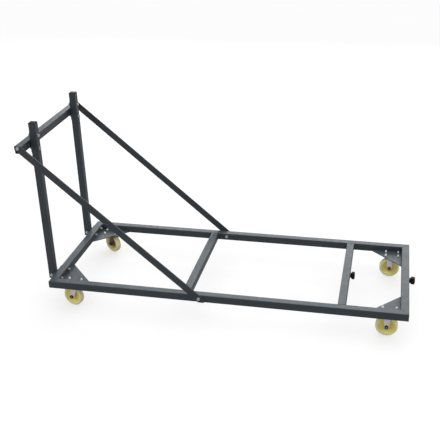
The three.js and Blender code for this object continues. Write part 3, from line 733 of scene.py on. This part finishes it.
def build_handle():
    """The push bar, with the beads that hold its two plates."""
    build_tube("handle_bar", 1)
    bm = bmesh.new()
    bar_low, bar_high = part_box("handle_bar")
    margin = 3 * MM
    for side, _ in SIDES:
        low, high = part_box(f"handle_plate_{side}")
        for z in (bar_low.z, bar_high.z):
            weld(bm, (bar_high.x, low.y + margin, z), (bar_high.x, high.y - margin, z), radius=2.4 * MM)
    finish_piece("handle_weld_beads", bm, "handle_bar", extra=True)


def build_stay_flat(side):
    """Flat bar from the handle's end to the rail, trimmed level with the bar's back and top at one end
    and with the rail's foot at the other."""
    node = f"stay_{side}"
    low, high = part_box(node)
    bolt_low, bolt_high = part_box(f"stay_foot_bolt_{side}")
    foot = (bolt_low + bolt_high) / 2
    bolt_low, bolt_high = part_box(f"stay_top_bolt_{side}")
    top = (bolt_low + bolt_high) / 2
    slope = (top.z - foot.z) / (top.x - foot.x)
    rise = STAY_WIDTH / 2 * math.hypot(1, slope)
    outline = soften([
        (high.x, low.z),
        (high.x, foot.z + rise + slope * (high.x - foot.x)),
        (foot.x + (high.z - foot.z - rise) / slope, high.z),
        (low.x, high.z),
        (low.x, foot.z - rise + slope * (low.x - foot.x)),
        (foot.x + (low.z - foot.z + rise) / slope, low.z),
    ], 1.2 * MM)
    bm = bmesh.new()
    plate(bm, outline, high.y - low.y, Matrix.Translation((0, low.y, 0)) @ FACING_Y)
    finish_piece(f"{node}_flat", bm, node, bevel=0.6 * MM)


def build_stay_top_bolt(side, sign):
    """A bolt with one washer that screws into the plug inside the handle bar."""
    node = f"stay_top_bolt_{side}"
    low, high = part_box(node)
    middle = (low + high) / 2
    seat = (high.y - M8["head"]) if sign > 0 else (low.y + M8["head"])
    lay = along((middle.x, seat, middle.z), (0, sign, 0))
    bm = bmesh.new()
    hexagon(bm, lay, M8["flats"], 0, M8["head"])
    washer(bm, lay, -WASHER_THICKNESS, 0)
    lathe(bm, [(M8["shank"], -(high.y - low.y) + M8["head"]), (M8["shank"], SUNK)], lay, segments=24)
    finish_piece(f"{node}_set", bm, node, look="dull_zinc")


def build_handle_plug(side):
    """A plastic plug that fills the handle bar's end."""
    node = f"handle_plug_{side}"
    low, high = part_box(node)
    middle = (low + high) / 2
    outline = rounded_rectangle(high.x - low.x, high.z - low.z, 1 * MM)
    bm = bmesh.new()
    skin(bm, [[Vector((middle.x + x, y, middle.z + z)) for x, z in outline] for y in (low.y, high.y)])
    finish_piece(f"{node}_moulding", bm, node, bevel=0.5 * MM)


def build_stay(side, sign):
    build_stay_flat(side)
    build_bolt(f"stay_foot_bolt_{side}", 1, sign)
    build_stay_top_bolt(side, sign)
    build_handle_plug(side)


# ---- Casters ----


def arc(x, z, radius, start, end, steps=12):
    """Points along an arc about (x, z), from one angle to another in degrees."""
    points = []
    for k in range(steps + 1):
        angle = math.radians(start + (end - start) * k / steps)
        points.append((x + radius * math.cos(angle), z + radius * math.sin(angle)))
    return points


def build_axle(name, place):
    """A black bolt through the fork and the hub, with a paler centre in its head."""
    node = f"axle_{name}"
    outer = FORK_HALF + FORK_SHEET
    bm = bmesh.new()
    fastener(bm, place @ along((0, -outer, 0), (0, 1, 0)), M12, 2 * outer)
    finish_piece(f"{node}_set", bm, node)

    bm = bmesh.new()
    face = place @ along((0, -outer - M12["head"], 0), (0, -1, 0))
    lathe(bm, [(AXLE_CENTRE, -SUNK), (AXLE_CENTRE, 0.3 * MM)], face, segments=32)
    finish_piece(f"{node}_centre", bm, node, look="dull_zinc", extra=True)


def build_tyre(name, place):
    """The tread, whose corners are well rounded."""
    node = f"tyre_{name}"
    shoulder = 5.5 * MM
    profile = soften([
        (RIM_RADIUS, -TYRE_HALF + 1 * MM),
        (WHEEL_RADIUS - shoulder, -TYRE_HALF),
        (WHEEL_RADIUS, -TYRE_HALF + 5 * MM),
        (WHEEL_RADIUS, TYRE_HALF - 5 * MM),
        (WHEEL_RADIUS - shoulder, TYRE_HALF),
        (RIM_RADIUS, TYRE_HALF - 1 * MM),
    ], [0.6 * MM, 3 * MM, 4 * MM, 4 * MM, 3 * MM, 0.6 * MM], steps=5)
    bm = bmesh.new()
    lathe(bm, profile, segments=96, closed=True, axis="Y")
    finish_piece(f"{node}_tread", bm, node, place=place)


def build_hub(name, place):
    """A moulded hub: a boss round the bore, a dished web, and a rim that carries the tyre."""
    node = f"wheel_hub_{name}"
    side = [
        (HUB_BORE, HUB_HALF),
        (12.5 * MM, HUB_HALF),
        (14.5 * MM, 7 * MM),
        (30 * MM, 5.5 * MM),
        (35.5 * MM, 9.5 * MM),
        (37.5 * MM, TYRE_HALF - 2 * MM),
        (RIM_RADIUS - 0.1 * MM, TYRE_HALF - 1.6 * MM),
    ]
    rounding = [0.3 * MM, 1.2 * MM, 4 * MM, 4 * MM, 2 * MM, 1.6 * MM, 0.4 * MM]
    profile = [(radius, -height) for radius, height in side] + side[::-1]
    bm = bmesh.new()
    lathe(bm, soften(profile, rounding + rounding[::-1]), segments=96, closed=True, axis="Y")
    # The far left wheel takes the hub tones with deeper painted shade in its recess.
    look = "deeply_shaded_wheel" if name == "left_far" else None
    finish_piece(f"{node}_moulding", bm, node, place=place, look=look)


def build_wheel(name):
    """A wheel on its axle. Gives back the angle it is turned to, about Z."""
    joint = JOINTS[f"wheel_{name}_spin"]
    yaw = math.atan2(-joint["axis"][0], joint["axis"][1])
    place = Matrix.Translation(joint["pos_m"]) @ Matrix.Rotation(yaw, 4, "Z")
    build_tyre(name, place)
    build_hub(name, place)
    build_axle(name, place)
    return yaw


def plate_underside(corner_plate):
    """The underside of the caster's top plate, which is bolted up against the corner plate."""
    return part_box(corner_plate)[0].z - CASTER_PLATE[2]


def bolted_plate(bm, node, corner_plate):
    """The caster's top plate, with four bolts that stand up through it and the corner plate."""
    length, width, thickness = CASTER_PLATE
    low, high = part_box(node)
    middle = (low + high) / 2
    place = Matrix.Translation((middle.x, math.copysign(CASTER_BOLTS_Y, middle.y), 0))
    under = plate_underside(corner_plate)
    outline = rounded_rectangle(length, width, CASTER_PLATE_CORNER)
    plate(bm, outline, thickness, place @ Matrix.Translation((0, 0, under)))
    for i in (-1, 1):
        for j in (-1, 1):
            seat = Matrix.Translation((i * CASTER_BOLTS[0] / 2, j * CASTER_BOLTS[1] / 2, under))
            fastener(bm, place @ seat, M6, thickness + CORNER_PLATE)


def fork_legs(bm, place, outline):
    """A pair of legs of the same outline, one on each side of the wheel."""
    for y in (-FORK_HALF - FORK_SHEET, FORK_HALF):
        plate(bm, outline, FORK_SHEET, place @ Matrix.Translation((0, y, 0)) @ FACING_Y)


def build_fixed_caster(side):
    """A caster whose fork legs are welded to its plate and taper down to the axle."""
    build_wheel(f"right_{side}")
    node = f"fixed_fork_{side}"
    pivot = Vector(JOINTS[f"wheel_right_{side}_spin"]["pos_m"])
    place = Matrix.Translation((pivot.x, pivot.y, 0))
    corner_plate = f"corner_plate_right_{side}"
    under = plate_underside(corner_plate)
    bm = bmesh.new()
    bolted_plate(bm, node, corner_plate)
    outline = [(FIXED_FORK_TOP, under + SUNK), (-FIXED_FORK_TOP, under + SUNK)]
    outline += arc(0, pivot.z, FORK_EYE, 176, 364)
    fork_legs(bm, place, outline)
    half = 16 * MM
    for y in (-FORK_HALF - FORK_SHEET, FORK_HALF + FORK_SHEET):
        weld(bm, place @ Vector((-half, y, under)), place @ Vector((half, y, under)), radius=1.8 * MM)
    finish_piece(f"{node}_pressing", bm, node, bevel=0.35 * MM)


def build_kingpin_plate(side, pin):
    """The swivel caster's fixed half: its plate, the race's upper cup, and the kingpin riveted below."""
    node = f"kingpin_plate_{side}"
    corner_plate = f"corner_plate_left_{side}"
    under = plate_underside(corner_plate)
    race = under - RACE_HEIGHT
    crown = under - CROWN_DROP
    bm = bmesh.new()
    bolted_plate(bm, node, corner_plate)
    cup = soften([
        (KINGPIN_RADIUS, under + SUNK),
        (RACE_RADIUS, under + SUNK),
        (RACE_RADIUS, under - 2 * MM),
        (RACE_RADIUS - RACE_TAPER, race),
        (KINGPIN_RADIUS, race),
    ], [0, 0, 1.5 * MM, 1.5 * MM, 0])
    lathe(bm, cup, pin, segments=64, closed=True)
    lathe(bm, [(KINGPIN_RADIUS, crown - 1 * MM), (KINGPIN_RADIUS, under)], pin, segments=32)
    rivet = soften([
        (RIVET_RADIUS - 7 * MM, crown - RIVET_HEIGHT),
        (RIVET_RADIUS - 2 * MM, crown - RIVET_HEIGHT),
        (RIVET_RADIUS, crown - 1.8 * MM),
        (RIVET_RADIUS, crown - RUNNING_GAP),
        (RIVET_RADIUS - 7 * MM, crown - RUNNING_GAP),
    ], [0, 2 * MM, 1 * MM, 0.3 * MM, 0])
    lathe(bm, rivet, pin, segments=40)
    finish_piece(f"{node}_pressing", bm, node, bevel=0.3 * MM)


def build_swivel_fork(side, pin, yaw):
    """The half that swivels: a crown round the kingpin, the race's lower ring, and two raked legs."""
    node = f"swivel_fork_{side}"
    under = plate_underside(f"corner_plate_left_{side}")
    race = under - RACE_HEIGHT
    crown = under - CROWN_DROP
    crown_top = crown + 2.5 * MM
    turned = pin @ Matrix.Rotation(yaw, 4, "Z")
    bm = bmesh.new()
    crown_outline = rounded_rectangle(CROWN_LENGTH, 2 * (FORK_HALF + FORK_SHEET), 5 * MM)
    plate(bm, crown_outline, CROWN_SHEET, turned @ Matrix.Translation((CROWN_MIDDLE, 0, crown)))
    ring = soften([
        (KINGPIN_RADIUS + 0.5 * MM, crown_top),
        (RACE_RADIUS, crown_top),
        (RACE_RADIUS, race - 2.5 * MM),
        (RACE_RADIUS - RACE_TAPER, race - RUNNING_GAP),
        (KINGPIN_RADIUS + 0.5 * MM, race - RUNNING_GAP),
    ], [0, 0, 1.5 * MM, 1 * MM, 0])
    lathe(bm, ring, turned, segments=64, closed=True)
    back, front = SWIVEL_FORK_TOP
    wheel_z = JOINTS[f"wheel_left_{side}_spin"]["pos_m"][2]
    outline = [(front, crown_top), (back, crown_top)]
    outline += arc(-SWIVEL_TRAIL, wheel_z, FORK_EYE, 180, 345)
    fork_legs(bm, turned, outline)
    # The far swivel fork takes the dark zinc tones, painted shade for the shadow it stands in.
    look = "shade_painted_zinc" if side == "far" else None
    finish_piece(f"{node}_pressing", bm, node, bevel=0.35 * MM, look=look)


def build_swivel_caster(side):
    yaw = build_wheel(f"left_{side}")
    position = Vector(JOINTS[f"swivel_{side}_turn"]["pos_m"])
    pin = Matrix.Translation((position.x, position.y, 0))
    build_kingpin_plate(side, pin)
    build_swivel_fork(side, pin, yaw)


# ---- Hand knobs ----


def build_grip(name):
    """A black grip: a round collar that widens into lobes and closes in a shallow dome."""
    node = f"knob_{name}"
    low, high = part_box(node)
    middle = (low + high) / 2
    length = high.x - low.x
    # Each row in millimetres: height along the profile's own length, radius, and share of the lobes' depth
    profile_length = 26.2 * MM
    rows = [(0.2, 12.6, 0), (0.5, 13.3, 0), (4.6, 13.6, 0), (6.2, 14.4, 0.1),
            (7.2, 16.2, 0.5), (8.6, 17.4, 0.9), (11, 17.8, 1), (20, 17.8, 1),
            (23.4, 17.0, 0.9), (25.2, 14.6, 0.5), (26, 10.5, 0.1), (26.2, 7.0, 0)]
    steps = 96
    rings = []
    for height, radius, share in rows:
        x = low.x + height * MM * length / profile_length
        ring = []
        for i in range(steps):
            angle = TURN * i / steps
            size = min(radius * MM + share * KNOB_LOBE * math.cos(KNOB_LOBES * angle), KNOB_REACH)
            ring.append(Vector((x, middle.y + size * math.cos(angle), middle.z + size * math.sin(angle))))
        rings.append(ring)
    bm = bmesh.new()
    skin(bm, rings)
    finish_piece(f"{node}_moulding", bm, node)


def build_insert(name):
    """The flanged and threaded insert pressed into the tube's wall."""
    node = f"knob_insert_{name}"
    low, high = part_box(node)
    middle = (low + high) / 2
    face = high.x - INSERT_FLANGE
    profile = soften([
        (INSERT_BORE, low.x),
        (INSERT_RADIUS, low.x),
        (INSERT_RADIUS, face),
        (INSERT_FLANGE_RADIUS, face),
        (INSERT_FLANGE_RADIUS, high.x),
        (INSERT_BORE, high.x),
    ], [0, 0.3 * MM, 0, 0.3 * MM, 0.6 * MM, 0.4 * MM])
    bm = bmesh.new()
    lathe(bm, profile, Matrix.Translation((0, middle.y, middle.z)) @ FACING_X, segments=40, closed=True)
    finish_piece(f"{node}_turning", bm, node)


def build_stud(name):
    """The threaded stud that the grip is fixed to."""
    node = f"knob_stud_{name}"
    low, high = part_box(node)
    middle = (low + high) / 2
    bm = bmesh.new()
    lay = along((low.x, middle.y, middle.z), (1, 0, 0))
    thread(bm, lay, M8["shank"] - 0.05 * MM, 0, high.x - low.x, M8["pitch"])
    finish_piece(f"{node}_screw", bm, node)


def build_knob(name):
    build_grip(name)
    build_insert(name)
    build_stud(name)


# ---- Stage ----


def build_floor():
    """A pale studio floor. Light that has bounced sees it darker, as on a stage with dark surrounds."""
    half = 40
    drop = 0.2 * MM
    corners = ((-half, -half), (half, -half), (half, half), (-half, half))
    bm = bmesh.new()
    bm.faces.new([bm.verts.new((x, y, -drop)) for x, y in corners])
    mesh = bpy.data.meshes.new("studio_floor")
    bm.to_mesh(mesh)
    bm.free()
    floor = bpy.data.objects.new("studio_floor", mesh)
    bpy.context.scene.collection.objects.link(floor)
    surface = Surface("studio_floor_paint", roughness=0.9, specular=0.05)
    seen = surface.node("ShaderNodeLightPath").outputs["Is Camera Ray"]
    pale = surface.ramp(surface.noise(0.8, detail=2), [(0.3, 0.31), (0.7, 0.32)])
    surface.colour(surface.mix(seen, (0.4, 0.4, 0.4), pale))
    surface.shader.inputs["Emission Color"].default_value = (1, 1, 1, 1)
    surface.link(surface.math("MULTIPLY", seen, 0.64), surface.shader.inputs["Emission Strength"])
    mesh.materials.append(surface.material)


def build_world():
    """Soft light from above that fades towards the horizon."""
    world = bpy.data.worlds.new("soft_studio")
    bpy.context.scene.world = world
    world.use_nodes = True
    tree = world.node_tree
    place = tree.nodes.new("ShaderNodeTexCoord")
    split = tree.nodes.new("ShaderNodeSeparateXYZ")
    ramp = tree.nodes.new("ShaderNodeValToRGB")
    tree.links.new(place.outputs["Generated"], split.inputs[0])
    tree.links.new(split.outputs["Z"], ramp.inputs["Fac"])
    low, high = ramp.color_ramp.elements
    low.position, low.color = 0.0, (0.12, 0.12, 0.12, 1)
    high.position, high.color = 1.0, (1, 1, 1, 1)
    middle = ramp.color_ramp.elements.new(0.5)
    middle.color = (0.38, 0.38, 0.38, 1)
    background = tree.nodes["Background"]
    tree.links.new(ramp.outputs["Color"], background.inputs["Color"])
    background.inputs["Strength"].default_value = 1.7


def build_light(name, position, target, size, power):
    data = bpy.data.lights.new(name, "AREA")
    data.shape = "RECTANGLE"
    data.size, data.size_y = size
    data.energy = power
    lamp = bpy.data.objects.new(name, data)
    bpy.context.scene.collection.objects.link(lamp)
    lamp.location = position
    lamp.visible_camera = False
    lamp.rotation_euler = (Vector(target) - Vector(position)).to_track_quat("-Z", "Y").to_euler()


# The camera, in metres and radians, with its lens and sensor in millimetres
CAMERA_POSITION = (0.7436, -3.3931, 2.0808)
CAMERA_YAW = -0.22135
CAMERA_PITCH = -0.45358
CAMERA_ROLL = -0.02488
CAMERA_LENS = 63.08
CAMERA_SENSOR = 36
CAMERA_SHIFT = (-0.0129, 0.0045)


def build_camera():
    data = bpy.data.cameras.new("camera")
    data.lens = CAMERA_LENS
    data.sensor_width = CAMERA_SENSOR
    data.shift_x, data.shift_y = CAMERA_SHIFT
    camera = bpy.data.objects.new("camera", data)
    bpy.context.scene.collection.objects.link(camera)
    yaw, pitch, roll = CAMERA_YAW, CAMERA_PITCH, CAMERA_ROLL
    forward = Vector((math.sin(yaw) * math.cos(pitch), math.cos(yaw) * math.cos(pitch), math.sin(pitch)))
    level = Vector((math.cos(yaw), -math.sin(yaw), 0))
    upright = level.cross(forward)
    right = level * math.cos(roll) + upright * math.sin(roll)
    up = upright * math.cos(roll) - level * math.sin(roll)
    turn = Matrix((right, up, -forward)).transposed().to_4x4()
    camera.matrix_world = Matrix.Translation(CAMERA_POSITION) @ turn
    bpy.context.scene.camera = camera


build_base()
build_base_welds()
build_corner_plates()
build_handle()
for side, sign in SIDES:
    build_upright(side, sign)
    build_stay(side, sign)
    build_fixed_caster(side)
    build_swivel_caster(side)
for knob in ("end", "crossbar"):
    build_knob(knob)

build_floor()
build_world()
build_light("right_softbox", position=(3.2, -0.6, 1.6), target=(0, 0, 0.3), size=(2.0, 2.0), power=20)
build_light("back_softbox", position=(0.0, 4.5, 2.4), target=(0, 0, 0.2), size=(6.0, 2.5), power=126)
build_light("front_softbox", position=(-3.4, -3.4, 1.3), target=(-0.8, -0.3, 0.1), size=(3.0, 2.0), power=26)
build_camera()
bpy.context.scene.view_settings.view_transform = "Standard"
